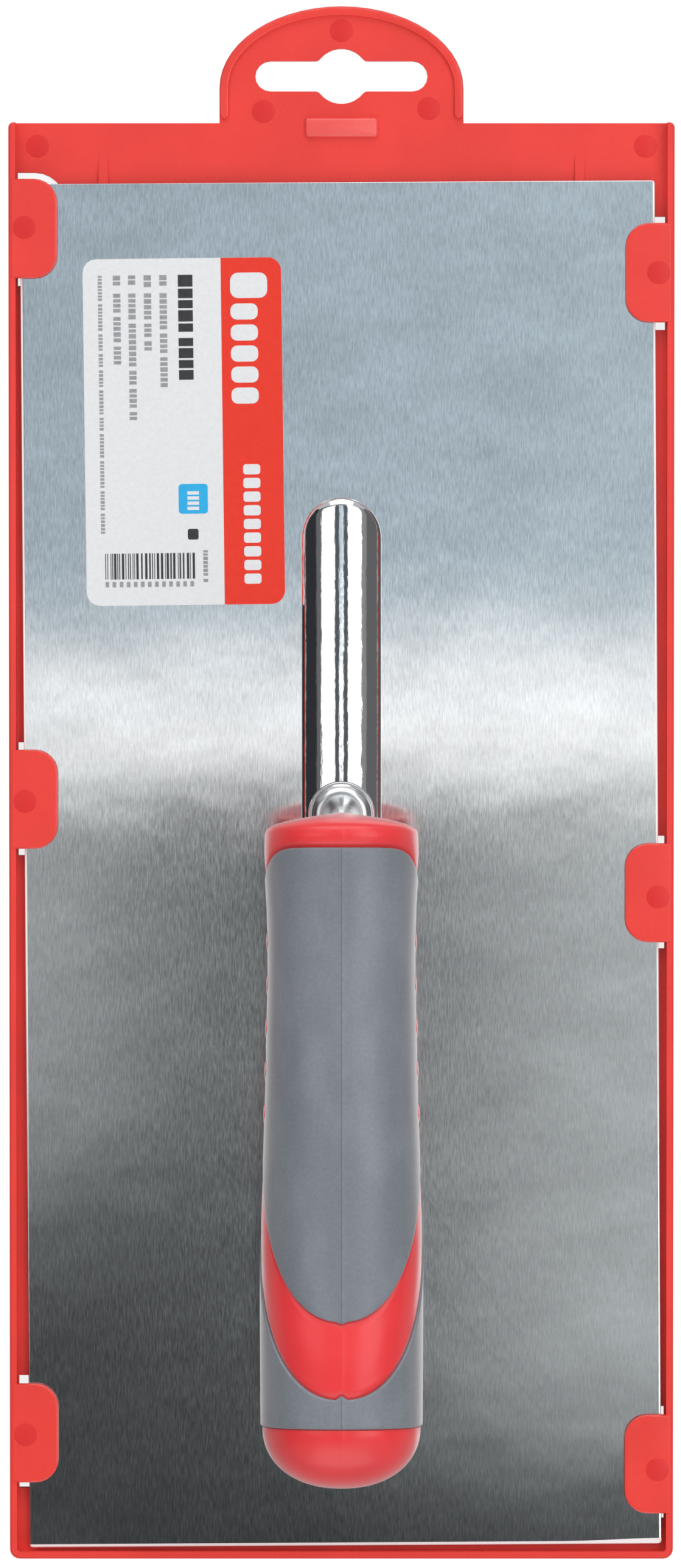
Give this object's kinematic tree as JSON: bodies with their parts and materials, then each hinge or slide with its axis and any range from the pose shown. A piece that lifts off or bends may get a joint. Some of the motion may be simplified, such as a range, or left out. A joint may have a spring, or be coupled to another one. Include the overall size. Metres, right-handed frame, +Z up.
{
  "type": "finishing trowel",
  "caption": "Rectangular steel finishing trowel with a two-colour soft-grip handle, lying in a red moulded blade carrier with clips and a hang tab.",
  "frame": {"origin": "middle of the underside of the whole object, on the surface that the carrier lies on", "axes": "+Z up, +Y along the blade towards the carrier's hang tab, +X across the blade"},
  "size_m": [0.1362, 0.3186, 0.0689],
  "materials": {
    "carrier_red": "satin moulded polypropylene",
    "blade_steel": "brushed along the blade",
    "label_film": "printed self-adhesive film",
    "shank_chrome": "polished",
    "plated_steel": "zinc plated",
    "handle_red": "satin moulded",
    "grip_grey": "fine matt texture"
  },
  "bodies": {
    "carrier": {"blade_carrier": "carrier_red"},
    "trowel": {"blade": "blade_steel", "blade_label": "label_film", "shank_bar": "shank_chrome", "blade_rivet_1": "plated_steel", "blade_rivet_2": "plated_steel", "blade_rivet_3": "plated_steel", "blade_rivet_4": "plated_steel", "blade_rivet_5": "plated_steel", "blade_rivet_6": "plated_steel", "neck_tang": "shank_chrome", "handle_core": "handle_red", "grip_front": "grip_grey", "grip_rear_ring": "grip_grey", "tang_washer": "plated_steel", "tang_nut": "plated_steel", "end_cap": "handle_red"}
  },
  "joints": [
    {"name": "trowel_slide", "type": "slide", "parent": "carrier", "child": "trowel", "axis": [0, 1, 0], "range_m": [0, 0.33]}
  ]
}
